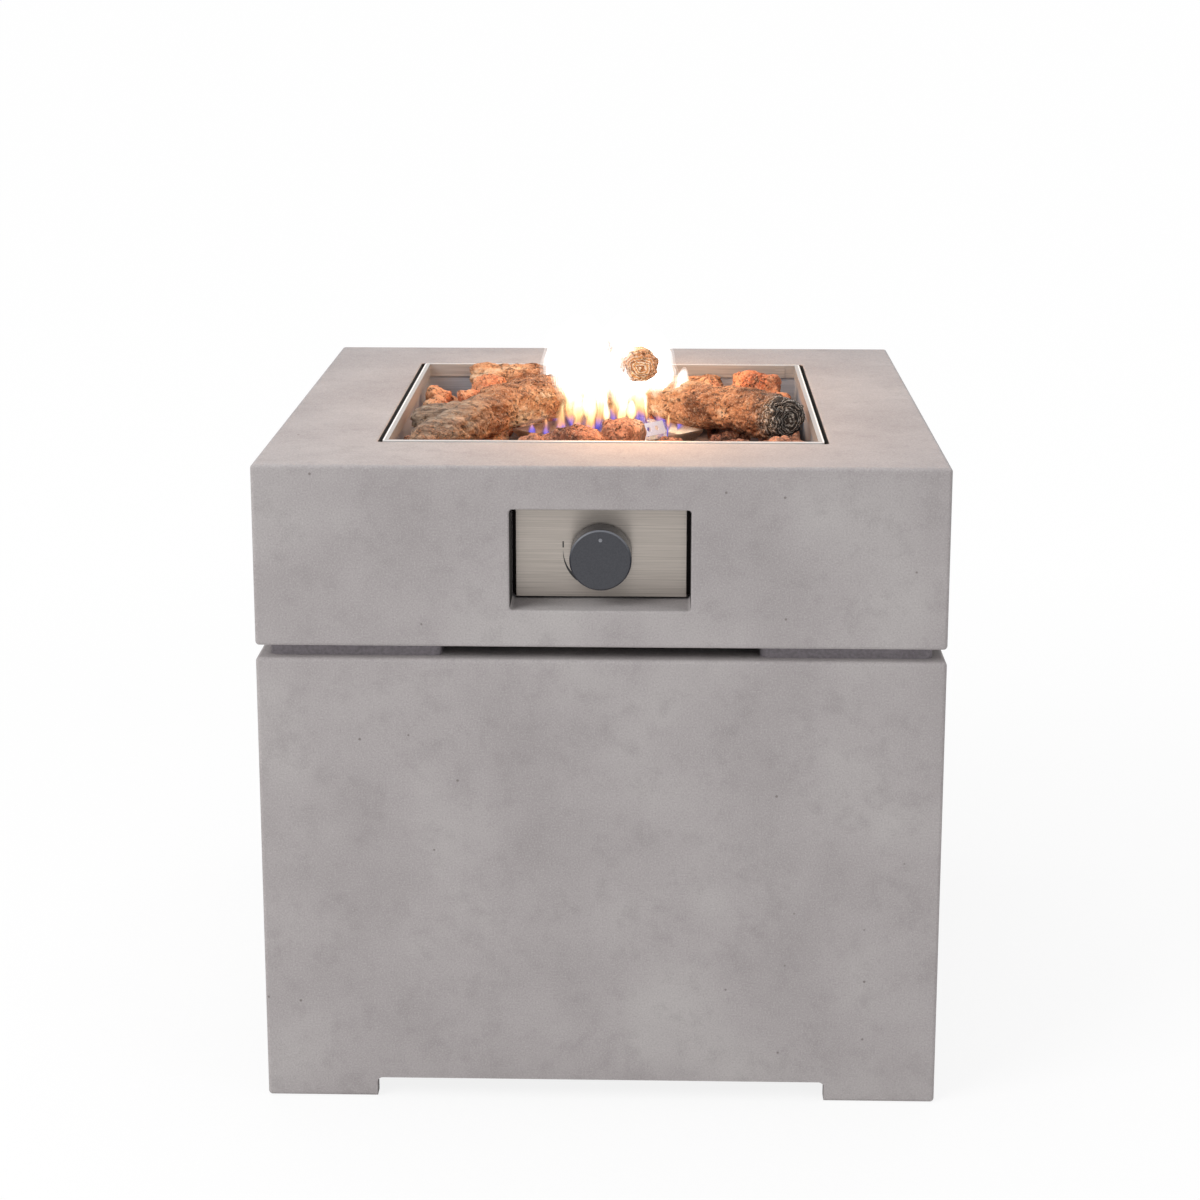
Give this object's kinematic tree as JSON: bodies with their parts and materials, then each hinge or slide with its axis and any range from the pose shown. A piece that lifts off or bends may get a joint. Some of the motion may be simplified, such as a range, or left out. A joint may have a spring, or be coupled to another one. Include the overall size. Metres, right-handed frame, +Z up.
{
  "type": "gas fire pit",
  "caption": "Square gas fire pit: two stacked moulded concrete casings, a steel burner tray with ceramic logs and lava rock, and a push-and-turn gas valve behind a window.",
  "frame": {"origin": "middle of the footprint, on the floor", "axes": "+Z up, -Y towards the front with the control window, +X to the right seen from the front"},
  "size_m": [0.6, 0.6, 0.6309],
  "materials": {
    "concrete": "matte",
    "tray_steel": "satin",
    "burner_steel": "satin",
    "plate_steel": "satin",
    "zinc_steel": "satin",
    "brass": "satin",
    "copper": "satin",
    "die_cast": "matte",
    "white_ceramic": "matte",
    "lead_jacket": "matte",
    "igniter_plastic": "matte",
    "knob_plastic": "satin",
    "pointer_paint": "satin",
    "log_ceramic": "matte",
    "lava_rock": "matte"
  },
  "bodies": {
    "base": {"base_casing": "concrete", "corner_pads": "concrete", "locating_dowels": "zinc_steel"},
    "top": {"top_casing": "concrete", "tray_rim": "tray_steel", "burner_tray": "tray_steel", "burner_dish": "burner_steel", "port_plate": "burner_steel", "lock_nut": "zinc_steel", "mixer_tube": "zinc_steel", "injector": "brass", "inlet_elbow": "brass", "gas_pipe": "copper", "pipe_nuts": "brass", "probe_guard": "burner_steel", "thermocouple": "copper", "spark_electrode": "white_ceramic", "ignition_lead": "lead_jacket", "control_plate": "plate_steel", "panel_screws": "zinc_steel", "valve_body": "die_cast", "valve_screws": "zinc_steel", "gas_inlet": "brass", "igniter": "igniter_plastic", "return_spring": "zinc_steel", "rock_bed_front": "lava_rock", "rock_bed_back": "lava_rock", "rock_bed_left": "lava_rock", "rock_bed_right": "lava_rock", "rocks_back_left": "lava_rock", "rocks_back_right": "lava_rock", "rocks_front": "lava_rock", "log_forked": "log_ceramic", "log_front_right": "log_ceramic", "log_back_left": "log_ceramic", "log_back_right": "log_ceramic", "log_top": "log_ceramic"},
    "push": {"push_rod": "zinc_steel"},
    "knob": {"knob": "knob_plastic", "knob_pointer": "pointer_paint", "spindle": "zinc_steel"}
  },
  "joints": [
    {"name": "top_lift", "type": "slide", "parent": "base", "child": "top", "axis": [0, 0, 1], "range_m": [0, 0.2]},
    {"name": "knob_push", "type": "slide", "parent": "top", "child": "push", "axis": [0, 1, 0], "range_m": [0, 0.003], "stiffness_N_per_m": 1000, "springref_m": -0.004, "deforming": ["return_spring"]},
    {"name": "knob_turn", "type": "hinge", "parent": "push", "child": "knob", "pos_m": [0, -0.29, 0.49855], "axis": [0, -1, 0], "range_deg": [0, 180]}
  ]
}
